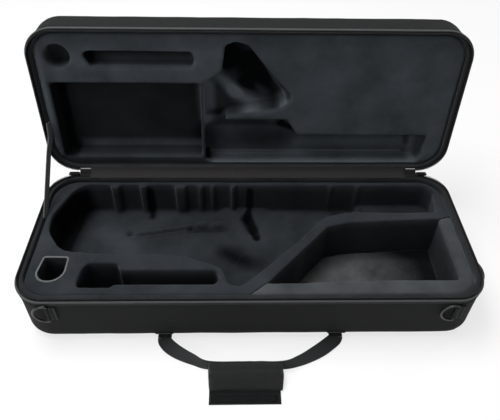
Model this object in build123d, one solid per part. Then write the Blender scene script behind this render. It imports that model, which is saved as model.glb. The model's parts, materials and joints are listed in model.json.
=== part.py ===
"""Tenor saxophone case: a zip-around case with a moulded plush inlay, open as it stands in use.

Millimetres. +X along the length, -Y towards the front (the handle side), +Y towards the hinge,
+Z up. The origin is the centre of the base's flat underside. Base and lid are each modelled as a
tray with its closed side down; the lid's tray is then turned over and swung open on the hinge line.
"""
import math
import os

from build123d import *

os.makedirs("parts", exist_ok=True)

# Driving dimensions
LENGTH = 834.0            # over the fabric cover
WIDTH = 316.0
CORNER_R = 57.0           # rounding of the plan's corners
EDGE_R = 25.0             # rounding between the walls and the closed side
BASE_H = 120.0            # underside to rim plane
LID_H = 82.0              # lid's top panel to rim plane
ZIP_GAP = 12.0            # between the two rim planes when shut
OPEN_DEG = 95.0           # how far the lid leans back on its strap
HINGE_Y = 161.0
HINGE_Z = BASE_H + ZIP_GAP / 2

COVER_T = 1.7             # woven cover
CORE_T = 8.0              # stiff foam shell under the cover
TAPE_T = 0.8              # zip tape
PIPING_R = 2.3
PIPING_OUT = 3.0          # how far the piping stands out from the cover
BINDING_T = 0.9

# Levels below the rim plane
PIPING_DROP = 4.6
LAND_DROP = 8.0
SHOULDER_DROP = 14.0      # top of the core and of the inlay's lower block
WELT_DROP = 1.5
WELT_ROUND = 2.0
BINDING_TOP, BINDING_BOTTOM = 5.0, 13.0
ZIP_RISE = 5.7            # the zip half stands this far above the rim plane
TOOTH_H = 3.4

# Zip and hinge fabric along the back wall
ZIP_END_X = 361.0         # the zip halves part here
GUSSET_X = 340.0          # half length of the hinge gusset
SLIDER_X0, SLIDER_X1 = 362.0, 384.0

WEBBING_W, WEBBING_T = 25.0, 1.8
SLIGHT_TURN = 12.0        # degrees; an outline's corners below this stay as they are
FAR = 500.0               # beyond the case on every side
RING_WIRE_R = 2.2

parts = {}


def keep(name, shape, colour):
    """Store one piece under its name."""
    shape.label = name
    shape.color = Color(*colour)
    parts[name] = shape


def group(pieces):
    """Identical pieces as separate solids under one name."""
    return Compound([solid for piece in pieces for solid in piece.solids()])


CLOTH, PLUSH, TRIM, METAL, EDGING = (
    (0.13, 0.14, 0.15), (0.30, 0.32, 0.35), (0.20, 0.21, 0.22), (0.6, 0.6, 0.62), (0.45, 0.47, 0.48))


# Plan outlines and trays

def plan(inset):
    """The case's rounded outline, drawn in from the cover's outside by inset."""
    return RectangleRounded(LENGTH - 2 * inset, WIDTH - 2 * inset, CORNER_R - inset)


def outline(points, radius):
    """A closed outline through points. Corners that turn noticeably are rounded, some by a third value."""
    places = [Vector(*point[:2]) for point in points]
    face = make_face(Polyline(*places, close=True))
    rounds = {}
    for i, here in enumerate(places):
        if (here - places[i - 1]).get_angle(places[(i + 1) % len(places)] - here) > SLIGHT_TURN:
            own = points[i][2] if len(points[i]) > 2 else radius
            rounds.setdefault(own, []).append(here)
    for size, corners in rounds.items():
        face = fillet([face.vertices().sort_by_distance(corner)[0] for corner in corners], size)
    return face


def slab(sketch, z0, z1):
    return extrude(Pos(0, 0, z0) * sketch, z1 - z0)


def box(x0, x1, y0, y1, z0, z1):
    return Pos((x0 + x1) / 2, (y0 + y1) / 2, (z0 + z1) / 2) * Box(x1 - x0, y1 - y0, z1 - z0)


def tray_block(inset, top):
    """A solid tray form: flat below, rounded along its lower edge."""
    block = slab(plan(inset), inset, top)
    return fillet(block.edges().group_by(Axis.Z)[0], EDGE_R - inset)


def ring_band(outer, inner, z0, z1):
    return slab(plan(outer) - plan(inner), z0, z1)


def land_face(land, grow=0.0):
    """Outline of the foam's top face: half length, front y, back y and corner radius."""
    half_x, front, back, radius = land
    face = RectangleRounded(2 * (half_x + grow), back - front + 2 * grow, radius + grow)
    return Pos(0, (front + back) / 2) * face


def tray(name, height, land, zip_span):
    """One half of the case, closed side down: cover in three parts, core, rim pieces and zip half."""
    shoulder = height - SHOULDER_DROP
    inner = COVER_T + CORE_T
    cover = tray_block(0, height - PIPING_DROP) - tray_block(COVER_T, height)
    core = tray_block(COVER_T, shoulder) - tray_block(inner, height)
    route = plan(PIPING_R - PIPING_OUT).wire()
    start = route @ 0
    piping = sweep(Plane(origin=(start.X, start.Y, height - PIPING_R), z_dir=route % 0)
                   * Circle(PIPING_R), Pos(0, 0, height - PIPING_R) * route)
    binding = ring_band(-BINDING_T, 0, height - BINDING_BOTTOM, height - BINDING_TOP)
    binding = fillet(binding.edges().filter_by(GeomType.LINE).group_by(Axis.Z)[-1], 0.3)
    welt_z = height - WELT_DROP
    welt = slab(plan(COVER_T + TAPE_T + 0.1) - land_face(land, 2.5), shoulder, welt_z)
    welt = fillet(welt.faces().sort_by(Axis.Z)[-1].edges(), WELT_ROUND)
    tape = ring_band(COVER_T, COVER_T + TAPE_T, shoulder, height + ZIP_RISE - TOOTH_H)
    teeth = ring_band(0.9, 3.3, height + ZIP_RISE - TOOTH_H, height + ZIP_RISE)
    hinge_side = box(-zip_span, zip_span, 0, WIDTH, 0, height + 50)
    panel = cover & box(-FAR, FAR, -FAR, FAR, 0, COVER_T)
    edge = cover & box(-FAR, FAR, -FAR, FAR, COVER_T, EDGE_R)
    side_band = cover & box(-FAR, FAR, -FAR, FAR, EDGE_R, height)
    return {name + "_cover": (side_band, CLOTH), name + "_cover_edge": (edge, CLOTH),
            name + "_cover_panel": (panel, CLOTH), name + "_core": (core, TRIM),
            name + "_piping": (piping, TRIM), name + "_binding": (binding, CLOTH),
            name + "_rim_welt": (welt, PLUSH), name + "_zip_tape": (tape - hinge_side, CLOTH),
            name + "_zip_teeth": (teeth - hinge_side, METAL)}


def inlay_block(height, land):
    """The padded insert before its pockets are cut: a lower block and a raised, softened land."""
    inner = COVER_T + CORE_T
    lower = tray_block(inner, height - SHOULDER_DROP)
    top = slab(land_face(land), height - SHOULDER_DROP, height - LAND_DROP)
    top = fillet(top.faces().sort_by(Axis.Z)[-1].edges(), 4)
    return lower + top


def pocket(points, radius, floor_z, top_z=300.0):
    return slab(outline(points, radius), floor_z, top_z)


# Base

BASE_LAND = (405.5, -140.0, 147.0, 46.0)
LAND_Z = BASE_H - LAND_DROP
FLOOR_Z = COVER_T + CORE_T

for node, (solid, tint) in tray("base", BASE_H, BASE_LAND, ZIP_END_X).items():
    keep(node, solid, tint)

BODY_FLOOR, NECK_FLOOR, BELL_FLOOR = 30.0, 46.0, 15.0
body_points = [(-349, -39, 30), (-366, -28, 40), (-393, 10, 50), (-396, 50, 60), (-384, 80), (-368, 120, 40),
               (-345, 139, 25), (377, 135, 18), (392, 120, 18), (382, 58, 10), (203, 59, 60), (150, 46, 40),
               (92, -18), (-3, -108), (-20, -121, 8), (-44, -116, 8), (-54, -82, 10), (-85, -68),
               (-123, -55), (-170, -49), (-245, -48), (-310, -44)]
body_outline = outline(body_points, 5)
RIBS = [(-292, -276, 11), (-232, -218, 9), (-157, -136, 11), (-107, -99, 8), (-80, -74, 8),
        (-38, -31, 10), (172, 178, 7), (230, 236, 7)]
for x0, x1, depth in RIBS:
    body_outline -= Pos((x0 + x1) / 2, 142 - depth / 2) * Rectangle(x1 - x0, depth + 6)
NECK_X = 235.0
body_cavity = slab(body_outline, BODY_FLOOR, 200) - box(NECK_X, 420, -160, 160, 0, NECK_FLOOR)
bell_well = pocket([(-30, -106), (-8, -113), (84, -22), (60, 20), (-20, 40), (-50, -30)], 18, BELL_FLOOR)

SLOT_FLOOR, SLOT_DEEP_FLOOR = 62.0, BODY_FLOOR
slot_deep = pocket([(-313, -122), (-309, -84), (-300, -69), (-246, -70), (-240, -84), (-240, -112),
                    (-252, -124)], 5, SLOT_DEEP_FLOOR)
slot_channel = pocket([(-260, -116), (-260, -86), (-64, -86), (-57, -101), (-65, -116)], 6, SLOT_FLOOR)

WELL_FLOOR = 48.0
well_face = make_face([Line((-381, -57), (-386, -90)), ThreePointArc((-386, -90), (-379, -104), (-364, -109)),
                       ThreePointArc((-364, -109), (-346, -102), (-339, -84)), Line((-339, -84), (-339, -58)),
                       Line((-339, -58), (-381, -57))])
well_face = fillet(well_face.vertices().group_by(Axis.Y)[-2] + well_face.vertices().group_by(Axis.Y)[-1], 4)
well = slab(well_face, WELL_FLOOR, 300)
TRIM_W = 3.5
trim_face = offset(well_face, TRIM_W)
trim_seat = slab(trim_face, LAND_Z - 1.5, 200)

COMPARTMENT_FLOOR = 14.0
compartment_points = [(28, -116), (154, 19), (199, 30), (381, 40), (381, -103), (375, -109), (266, -110)]
compartment = pocket(compartment_points, 3, FLOOR_Z)
# The front and right walls of the compartment are one L-shaped bar, let into the block's corner
corner_region = make_face(Polyline((-3, -139), (24, -117.5), (60, -100), (375, -100), (370, 38), (382, 38),
                                   (407, 46), (440, 46), (440, -180), (-3, -180), close=True))
corner_room = slab(corner_region, 0, 200)

block = inlay_block(BASE_H, BASE_LAND)
corner_bar = (block & corner_room) - compartment
inlay = block - corner_room - compartment - body_cavity - bell_well - slot_deep - slot_channel
inlay = inlay - well - trim_seat


def share_out(name, block, regions):
    """Keep a glued-up insert as the foam blocks that it is made of, one for each region.

    A joint can leave a sliver of a corner's rounding beside it, which is dropped.
    """
    for place, region in regions.items():
        keep(name + "_inlay_" + place, (block & region).solids().sort_by(SortBy.VOLUME)[-1], PLUSH)


BED_X0, BED_X1 = -60.0, 95.0      # the block that holds the bell's deepest part
BACK_Y, FRONT_Y = 126.5, -36.5    # joints between the walls round the body's cavity
LEFT_X, BEAM_X, BRIDGE_X, BRIDGE_Y = -352.5, -48.0, 154.0, 62.5
share_out("base", inlay, {
    "floor_left": box(-FAR, BED_X0, -FAR, FAR, 0, BODY_FLOOR),
    "bell_bed": box(BED_X0, BED_X1, -FAR, FAR, 0, BODY_FLOOR),
    "floor_right": box(BED_X1, FAR, -FAR, FAR, 0, BODY_FLOOR),
    "back": box(-FAR, FAR, BACK_Y, FAR, BODY_FLOOR, BASE_H),
    "left": box(-FAR, LEFT_X, FRONT_Y, BACK_Y, BODY_FLOOR, BASE_H),
    "front": box(-FAR, BEAM_X, -FAR, FRONT_Y, BODY_FLOOR, BASE_H),
    "divider": box(BEAM_X, BRIDGE_X, -FAR, BRIDGE_Y, BODY_FLOOR, BASE_H),
    "bridge": box(BRIDGE_X, FAR, -FAR, BRIDGE_Y, BODY_FLOOR, BASE_H),
    "right": box(NECK_X, FAR, BRIDGE_Y, BACK_Y, BODY_FLOOR, BASE_H)})
keep("compartment_corner", corner_bar, PLUSH)
keep("compartment_floor", slab(offset(outline(compartment_points, 3), -0.4), FLOOR_Z, COMPARTMENT_FLOOR),
     PLUSH)
trim = slab(trim_face - well_face, LAND_Z - 1.5, LAND_Z + 1.0)
keep("well_trim", trim, EDGING)


# Lid, modelled as a tray, then turned over above the base and swung open

LID_LAND = (406.0, -148.0, 148.0, 47.0)
LID_TOP_Z = BASE_H + ZIP_GAP + LID_H


def from_hinge(points):
    """Lid outlines are given as (x, distance from the hinge edge), as they are seen when it is open."""
    return [(x, HINGE_Y - v) for x, v in points]


def close_lid(shape):
    """Turn a lid tray over so that its rim faces the base's rim."""
    return mirror(shape, about=Plane.XY.offset(LID_TOP_Z / 2))


def swing_open(shape):
    return shape.rotate(Axis((0, HINGE_Y, HINGE_Z), (1, 0, 0)), -OPEN_DEG)


def lid_depth(depth):
    """Height in the lid's tray of a floor that lies depth below the rim plane."""
    return LID_H - depth


lid_pieces = tray("lid", LID_H, LID_LAND, ZIP_END_X)
DIVIDER_X0, DIVIDER_X1 = -99.5, -94.5
POCKET_DEPTH, TROUGH_DEPTH, SLOT_DEPTH, HOLE_DEPTH, BELL_DEPTH = 50.0, 40.0, 42.0, 46.0, 62.0
lid_pocket = pocket(from_hinge([(-388, 33), (-388, 205), (DIVIDER_X0, 205), (DIVIDER_X0, 33)]),
                    5, lid_depth(POCKET_DEPTH))
lid_hole = Pos(-364, HINGE_Y - 261, lid_depth(HOLE_DEPTH)) * Cylinder(
    24, 100, align=(Align.CENTER, Align.CENTER, Align.MIN))
lid_slot = pocket(from_hinge([(-319, 268), (-305, 239), (-112, 239), (-104, 254), (-112, 272), (-298, 272)]),
                  6, lid_depth(SLOT_DEPTH))
bell_recess = pocket(from_hinge([(-49, 285), (-29, 292), (-6, 285), (36, 232), (82, 178), (78, 163),
                                 (60, 147), (23, 140), (-45, 131), (-60, 115), (DIVIDER_X1, 115),
                                 (DIVIDER_X1, 205), (-56, 230)]), 6, lid_depth(BELL_DEPTH))
trough = pocket(from_hinge([(DIVIDER_X1, 124), (75, 124), (97, 87), (371, 86), (371, 35), (358, 19),
                            (-80, 17), (DIVIDER_X1, 26)]), 5, lid_depth(TROUGH_DEPTH))
lid_inlay = inlay_block(LID_H, LID_LAND) - lid_pocket - lid_hole - lid_slot - bell_recess - trough
for node, (solid, tint) in lid_pieces.items():
    keep(node, swing_open(close_lid(solid)), tint)


def lid_region(x0, x1, v0, v1, z0, z1):
    """A box of the lid, from v0 to v1 away from the hinge edge, where the open lid has it."""
    return swing_open(close_lid(box(x0, x1, HINGE_Y - v1, HINGE_Y - v0, z0, z1)))


RECESS_X1, TROUGH_X0, TROUGH_X1 = 84.0, -80.0, 358.0
PAST = 400.0
trough_z, pocket_z = lid_depth(TROUGH_DEPTH), lid_depth(POCKET_DEPTH)
divider = (lid_region(DIVIDER_X0, DIVIDER_X1, 0, 205, trough_z, LID_H)
           + lid_region(DIVIDER_X1, TROUGH_X0, 0, 26.5, trough_z, LID_H))
crown = lid_region(DIVIDER_X0, BEAM_X, 205, PAST, trough_z, LID_H)
share_out("lid", swing_open(close_lid(lid_inlay)), {
    "floor_left": lid_region(-FAR, DIVIDER_X0, 0, PAST, 0, pocket_z),
    "bell_bed": lid_region(DIVIDER_X0, RECESS_X1, 0, PAST, 0, trough_z),
    "floor_right": lid_region(RECESS_X1, FAR, 0, PAST, 0, trough_z),
    "hinge_left": lid_region(-FAR, DIVIDER_X0, 0, 33, pocket_z, LID_H),
    "hinge_right": lid_region(TROUGH_X0, TROUGH_X1, 0, 26.5, trough_z, LID_H),
    "left": lid_region(-FAR, DIVIDER_X0, 33, PAST, pocket_z, LID_H),
    "divider": divider,
    "crown": crown,
    "right_end": lid_region(TROUGH_X1, FAR, 0, 83, trough_z, LID_H),
    "right": lid_region(DIVIDER_X0, FAR, 83, PAST, trough_z, LID_H) - divider - crown})


# Hinge gusset, lining and the closed zip ends, along the back wall between the two rims

def lid_point(v, depth):
    """Where a point of the lid's section lies when the lid is open: (y, z)."""
    turn = math.radians(OPEN_DEG)
    along = (-math.cos(turn), math.sin(turn))
    down = (math.sin(turn), math.cos(turn))
    reach = ZIP_GAP / 2 + depth
    return (HINGE_Y + along[0] * v + down[0] * reach, HINGE_Z + along[1] * v + down[1] * reach)


def hinge_strip(base_yz, lid_yz, sag, thickness, x0, x1):
    """A strip of cloth from the base's rim to the lid's, bowed by sag, extruded along X."""
    (ya, za), (yb, zb) = base_yz, lid_yz
    mid_y, mid_z = (ya + yb) / 2, (za + zb) / 2
    span = math.hypot(yb - ya, zb - za)
    across = ((zb - za) / span, -(yb - ya) / span)
    curve = ThreePointArc((ya, za), (mid_y + across[0] * sag, mid_z + across[1] * sag), (yb, zb))
    band = trace(curve, thickness)
    return extrude(Plane(origin=(x0, 0, 0), x_dir=(0, 1, 0), z_dir=(1, 0, 0)) * band, x1 - x0)


gusset_from, gusset_to = (HINGE_Y + 0.8, BASE_H - 3.0), (HINGE_Y + 7.8, HINGE_Z - 1.5)
lining_from, lining_to = (HINGE_Y - 10.5, BASE_H - 0.6), lid_point(10.5, 0.6)
keep("hinge_gusset", hinge_strip(gusset_from, gusset_to, 1.5, 1.2, -GUSSET_X, GUSSET_X), CLOTH)
keep("hinge_lining", hinge_strip(lining_from, lining_to, 4.0, 1.0, 2 - GUSSET_X, GUSSET_X - 2), TRIM)

closed_from, closed_to = (HINGE_Y - 3.4, BASE_H + 0.9), lid_point(3.0, -0.9)
ridge_y, ridge_z = (closed_from[0] + closed_to[0]) / 2 + 0.6, (closed_from[1] + closed_to[1]) / 2 - 0.6
closed_tape = hinge_strip(closed_from, closed_to, 0.8, 1.0, GUSSET_X + 0.4, ZIP_END_X)
closed_teeth = (Pos((GUSSET_X + ZIP_END_X) / 2, ridge_y, ridge_z) * Rot(45, 0, 0)
                * Box(ZIP_END_X - GUSSET_X - 2.0, 4.4, 2.8))
zip_end = closed_tape + closed_teeth
keep("zip_end_right", zip_end, METAL)
keep("zip_end_left", mirror(zip_end, about=Plane.YZ), METAL)


# Sliders and their pulls, parked at the back corners

SLIDER_OUT_Y = HINGE_Y + 1.4      # inner side of the slider's outer plate
SLIDER_IN_Y = HINGE_Y - 3.4       # inner plate
PULL_Y, PULL_Z = HINGE_Y + 5.6, 116.8
PULL_PIN_R = 0.9


def slider_body():
    """Outer plate, inner plate, the nose that joins them and the bail that holds the pull."""
    outer = box(SLIDER_X0, SLIDER_X1, SLIDER_OUT_Y, SLIDER_OUT_Y + 1.8, 114.0, 124.8)
    outer = fillet(outer.edges().filter_by(Axis.Y), 2.0)
    inner_plate = box(SLIDER_X0, SLIDER_X1, SLIDER_IN_Y, SLIDER_IN_Y + 1.4, 120.7, 124.8)
    nose = box(SLIDER_X1 - 5, SLIDER_X1 - 2, SLIDER_IN_Y, SLIDER_OUT_Y + 0.5, 120.7, 124.8)
    cheeks = [box(x, x + 1.6, SLIDER_OUT_Y + 1.8, PULL_Y + 1.8, 115.0, 119.0)
              for x in (SLIDER_X0 + 5.4, SLIDER_X0 + 15.0)]
    pin_span = cheeks[1].bounding_box().max.X - cheeks[0].bounding_box().min.X
    pin = Pos((SLIDER_X0 + SLIDER_X1) / 2, PULL_Y, PULL_Z) * Rot(0, 90, 0) * Cylinder(PULL_PIN_R, pin_span)
    return outer + inner_plate + nose + cheeks[0] + cheeks[1] + pin


def pull_tab():
    """A flat tab with a bored head, hanging from the slider's pin."""
    middle = (SLIDER_X0 + SLIDER_X1) / 2
    head = Pos(middle, PULL_Y, PULL_Z) * Rot(0, 90, 0) * Cylinder(2.0, 6.4)
    head -= Pos(middle, PULL_Y, PULL_Z) * Rot(0, 90, 0) * Cylinder(PULL_PIN_R + 0.06, 10)
    neck = box(middle - 2.4, middle + 2.4, PULL_Y - 0.9, PULL_Y + 0.9, 104.0, PULL_Z - 1.5)
    tab = box(middle - 5.0, middle + 5.0, PULL_Y - 1.1, PULL_Y + 1.1, 82.0, 105.0)
    tab = fillet(tab.edges().filter_by(Axis.Y), 3.0)
    eye = Pos(middle, PULL_Y, 87.5) * Rot(90, 0, 0) * Cylinder(2.2, 10)
    return head + neck + tab - eye


for side, sign in (("left", -1), ("right", 1)):
    body, pull = slider_body(), pull_tab()
    if sign < 0:
        body, pull = mirror(body, about=Plane.YZ), mirror(pull, about=Plane.YZ)
    keep("slider_" + side, body, METAL)
    keep("pull_" + side, pull, METAL)


# Lid strap: flat webbing tucked beside the foam of the base and of the lid

STRAP_X = -407.4
STRAP_T = 1.2
strap_line = [(44.0, LAND_Z + 1), (100.0, 158.0), (146.0, 196.0), lid_point(120.0, 6.0)]
strap_band = extrude(Plane(origin=(STRAP_X, 0, 0), x_dir=(0, 1, 0), z_dir=(1, 0, 0))
                     * trace(FilletPolyline(*strap_line, radius=60), WEBBING_W), STRAP_T)
strap_band &= box(-410, -400, -200, 400, BASE_H - SHOULDER_DROP + 0.2, 400)
strap_band -= swing_open(close_lid(box(-410, -400, -200, 200, 0, LID_H - SHOULDER_DROP + 0.2)))
keep("lid_strap", strap_band, CLOTH)


# Carrying handles: webbing that turns on edge between its sewn end and the grip

GRIP_X0, GRIP_X1 = -76.0, 54.0
HANDLE_START_Y = -158.4   # the loose webbing begins here, where it leaves its sewn end
WEBBING_LOW = 0.6         # its lower edge above the ground
# (x, y, lean in degrees): nearly flat at the sewn end, on edge where it enters the grip
left_route = [(-160, HANDLE_START_Y, 1), (-159, -164, 7), (-155, -171, 17), (-145, -182, 34),
              (-128, -194.5, 54), (-104, -207, 72), (GRIP_X0, -218, 86)]
right_route = [(GRIP_X1, -219, 86), (84, -211, 72), (108, -199, 54), (128, -186, 34), (144, -173, 17),
               (154, -164, 7), (158, HANDLE_START_Y, 1)]


def ribbon_sections(route):
    """Rectangles across the webbing: its lower edge stays on the ground as it leans inwards."""
    sections = []
    for i, (x, y, lean) in enumerate(route):
        before, after = route[max(i - 1, 0)], route[min(i + 1, len(route) - 1)]
        ahead = Vector(after[0] - before[0], after[1] - before[1], 0).normalized()
        if i in (0, len(route) - 1) and lean < 45:
            ahead = Vector(0, -1 if i == 0 else 1, 0)
        inward = Vector(-ahead.Y, ahead.X, 0)
        tilt = math.radians(lean)
        across = inward * math.cos(tilt) + Vector(0, 0, math.sin(tilt))
        height = WEBBING_LOW + WEBBING_W / 2 * math.sin(tilt) + WEBBING_T / 2 * math.cos(tilt)
        plane = Plane(origin=(x, y, height), x_dir=across, z_dir=ahead)
        sections.append(plane * Rectangle(WEBBING_W, WEBBING_T))
    return sections


def webbing_loop():
    """One continuous strap: up to the grip, straight through it and down again."""
    left = loft(ribbon_sections(left_route), ruled=True)
    right = loft(ribbon_sections(right_route), ruled=True)
    middle = loft([ribbon_sections(left_route)[-1], ribbon_sections(right_route)[0]], ruled=True)
    return left + middle + right


ANCHOR_T = 1.4
PATCH_HALF = 16.0
PATCH_BACK_Y = -143.6
TAIL_GAP = 1.2            # room for the webbing to turn where it leaves its sewn tail
ANCHOR_X = {"left": -160.0, "right": 158.0}


def handle_anchor(x):
    """Sewn patch on the rounding under the front edge, with the webbing's flat tail below it."""
    skin = slab(plan(-ANCHOR_T), -ANCHOR_T, 60)
    skin = fillet(skin.edges().group_by(Axis.Z)[0], EDGE_R + ANCHOR_T) - tray_block(0, 80)
    patch = skin & box(x - PATCH_HALF, x + PATCH_HALF, -162, PATCH_BACK_Y, 0.3, 21)
    half = WEBBING_W / 2
    tail_y = HANDLE_START_Y + TAIL_GAP
    tail = box(x - half, x + half, tail_y, PATCH_BACK_Y, WEBBING_LOW, WEBBING_LOW + WEBBING_T)
    return patch + (tail - tray_block(0, 80))


# On the lid the strap is sewn to the flat panel and hangs folded back over its own patch
LID_PATCH_Y0, LID_PATCH_Y1, LID_PATCH_T = -131.0, -86.0, 1.5
LID_LOOP_START_Y, LID_LOOP_GAP = -133.0, 0.4

loop = webbing_loop()
lid_patches = [box(x - PATCH_HALF, x + PATCH_HALF, LID_PATCH_Y0, LID_PATCH_Y1, -LID_PATCH_T, 0)
               for x in ANCHOR_X.values()]
keep("handle_anchors", group([handle_anchor(x) for x in ANCHOR_X.values()]), TRIM)
keep("lid_handle_anchors", group([swing_open(close_lid(patch)) for patch in lid_patches]), TRIM)
keep("handle_webbing", loop, CLOTH)
fold_y = (HANDLE_START_Y + LID_LOOP_START_Y) / 2
fold_z = (WEBBING_LOW - LID_PATCH_T - LID_LOOP_GAP) / 2
fold_axis = Axis((0, fold_y, fold_z), (1, 0, 0))
keep("lid_handle_webbing", swing_open(close_lid(loop.rotate(fold_axis, 180))), CLOTH)

# The padded grip, with its flap lying flat on the ground in front of it
grip_section = [(-213.5, 0.5), (-212.5, 14), (-216, 23), (-226, 27.5), (-238, 27), (-246, 22), (-257, 10),
                (-263, 5.5), (-263, 0.5)]
side_plane = Plane(origin=(GRIP_X0, 0, 0), x_dir=(0, 1, 0), z_dir=(1, 0, 0))
grip = extrude(side_plane * outline(grip_section, 1.6), GRIP_X1 - GRIP_X0) - loop
keep("handle_grip", grip.solids().sort_by(SortBy.VOLUME)[-1], TRIM)
FLAP_HINGE_Y, FLAP_T = -263.4, 2.3
flap = box(-74, 49, -283.0, FLAP_HINGE_Y, 0.4, 0.4 + FLAP_T)
keep("grip_flap", fillet(flap.edges().filter_by(Axis.Z), 2.0), TRIM)
keep("grip_hook_strip", box(-66, 41, -280.5, -267.6, 0.4 + FLAP_T, 1.2 + FLAP_T), CLOTH)


# D-rings, each held by a folded webbing tab

RING_BAR, RING_BOW, RING_CORNER = 35.6, 21.8, 4.0
TAB_H = 35.0
RING_STAND = 3.9          # bar's centre line to the cover


def dee_ring():
    """A D of round wire in the XZ plane: the bar on the Z axis, the bow towards -X."""
    half = RING_BAR / 2
    bar = Line((0, -half), (0, half))
    top = RadiusArc((0, half), (-RING_CORNER, RING_BOW), -RING_CORNER)
    bow = ThreePointArc((-RING_CORNER, RING_BOW), (-RING_CORNER - RING_BOW, 0), (-RING_CORNER, -RING_BOW))
    bottom = RadiusArc((-RING_CORNER, -RING_BOW), (0, -half), -RING_CORNER)
    wire = Plane.XZ * Wire([bar, top, bow, bottom])
    return sweep(Plane(origin=wire @ 0, z_dir=wire % 0) * Circle(RING_WIRE_R), wire)


def ring_tab():
    """Webbing folded round the bar and sewn flat to the cover on the bar's +X side."""
    barrel = Cylinder(RING_STAND - 0.1, TAB_H)
    tongue = box(0, 14, RING_STAND - 3.0 - 0.7, RING_STAND, -TAB_H / 2, TAB_H / 2)
    bore = Cylinder(RING_WIRE_R + 0.06, TAB_H + 2)
    return barrel + tongue - bore


RINGS = {"front_left": (Pos(-354, -WIDTH / 2 - RING_STAND, 88), 0),
         "front_right": (Pos(361, -WIDTH / 2 - RING_STAND, 86), 0),
         "end_right": (Pos(LENGTH / 2 + RING_STAND, -70, 88) * Rot(0, 0, 90), 25)}
for place, (location, swing) in RINGS.items():
    keep("dee_ring_" + place, location * Rot(0, 0, swing) * dee_ring(), METAL)
keep("ring_tabs", group([location * ring_tab() for location, swing in RINGS.values()]), CLOTH)


for node, solid in parts.items():
    export_step(solid, "parts/" + node + ".step")
    print(node, round(solid.volume), solid.is_valid)
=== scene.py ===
# %% [markdown]
# A zip-around case for a tenor saxophone, standing open.
#
# The case is mostly cloth: a woven cover over stiff foam, with a plush block inside that is cut to
# the instrument. The hard parts are few: two zip sliders, three D-rings and the rows of zip teeth.
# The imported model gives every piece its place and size. This lesson gives each one its look: the
# weave, the pile, the rolled edges, the stitches and the teeth.

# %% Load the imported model
import json
import math
from functools import partial

import bmesh
import bpy
from mathutils import Matrix, Vector, noise


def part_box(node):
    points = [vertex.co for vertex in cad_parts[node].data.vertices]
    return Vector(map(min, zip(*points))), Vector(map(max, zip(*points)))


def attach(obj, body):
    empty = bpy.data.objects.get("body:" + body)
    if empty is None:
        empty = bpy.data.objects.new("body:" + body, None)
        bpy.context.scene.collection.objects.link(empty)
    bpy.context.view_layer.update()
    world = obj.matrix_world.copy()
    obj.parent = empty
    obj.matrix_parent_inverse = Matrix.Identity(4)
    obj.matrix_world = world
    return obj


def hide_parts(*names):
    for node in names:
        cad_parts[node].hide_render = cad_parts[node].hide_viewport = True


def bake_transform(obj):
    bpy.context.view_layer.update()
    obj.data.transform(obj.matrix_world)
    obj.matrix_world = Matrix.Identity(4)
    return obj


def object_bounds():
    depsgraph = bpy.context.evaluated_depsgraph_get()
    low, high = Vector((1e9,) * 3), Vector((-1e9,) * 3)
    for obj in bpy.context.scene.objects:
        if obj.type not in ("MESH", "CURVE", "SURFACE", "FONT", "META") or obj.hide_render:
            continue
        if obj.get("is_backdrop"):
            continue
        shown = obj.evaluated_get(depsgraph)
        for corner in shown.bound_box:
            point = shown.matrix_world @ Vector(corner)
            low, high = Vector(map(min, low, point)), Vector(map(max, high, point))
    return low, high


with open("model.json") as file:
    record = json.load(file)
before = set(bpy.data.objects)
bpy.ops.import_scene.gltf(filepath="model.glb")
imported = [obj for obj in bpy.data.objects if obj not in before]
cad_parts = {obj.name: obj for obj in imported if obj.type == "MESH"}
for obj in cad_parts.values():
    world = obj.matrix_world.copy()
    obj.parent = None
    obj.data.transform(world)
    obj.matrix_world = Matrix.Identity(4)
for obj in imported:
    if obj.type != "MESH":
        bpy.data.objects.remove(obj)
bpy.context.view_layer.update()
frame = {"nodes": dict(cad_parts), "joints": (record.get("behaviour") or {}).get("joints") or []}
nodes = frame["nodes"]

# %% Small helpers
def add_object(name, data):
    thing = bpy.data.objects.new(name, data)
    bpy.context.scene.collection.objects.link(thing)
    return thing


def mesh_of(bm, name):
    """Turn a bmesh into a mesh, and free it."""
    mesh = bpy.data.meshes.new(name)
    bm.to_mesh(mesh)
    bm.free()
    return mesh


def spaced(low, high, count, start=0.5):
    """Even places from low to high, in the middle of each gap or at another share of it."""
    return [low + (i + start) * (high - low) / count for i in range(count)]


def feed(tree, socket, value):
    """Link another node's output to a socket, or set a constant there."""
    if isinstance(value, bpy.types.NodeSocket):
        tree.links.new(value, socket)
    else:
        socket.default_value = value


def fill(tree, node, **inputs):
    """Feed a node's inputs. An underscore in a label stands for a space."""
    for label, value in inputs.items():
        feed(tree, node.inputs[label.replace("_", " ")], value)
    return node


def add_node(tree, kind, **inputs):
    return fill(tree, tree.nodes.new("ShaderNode" + kind), **inputs)


def math_node(tree, operation, *values):
    node = add_node(tree, "Math")
    node.operation = operation
    for socket, value in zip(node.inputs, values):
        feed(tree, socket, value)
    return node.outputs[0]

# %% [markdown]
# The case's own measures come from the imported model: the cover's box gives the length and width,
# and the lid's hinge gives the line that everything in the lid turns about. Pieces of the lid are
# drawn the way the base is drawn, as a tray with its closed side down, and one matrix then turns
# the tray over and leans it back. That way one function serves both halves.

# %% Measures of the case, in metres
cover_low, cover_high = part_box("base_cover")
LENGTH = cover_high.x - cover_low.x
WIDTH = cover_high.y - cover_low.y
CORNER_R = 0.057          # plan rounding of the case
EDGE_R = 0.025            # rounding between a wall and the closed side
PIPING_DROP = 0.0046      # the cover ends this far below the rim
BASE_H = cover_high.z + PIPING_DROP
LID_H = 0.082
ZIP_GAP = 0.012           # between the rims of the shut case
COVER_T = 0.0017
STRAIGHT_X = LENGTH / 2 - CORNER_R
STRAIGHT_Y = WIDTH / 2 - CORNER_R
QUARTER = CORNER_R * math.pi / 2

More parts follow.
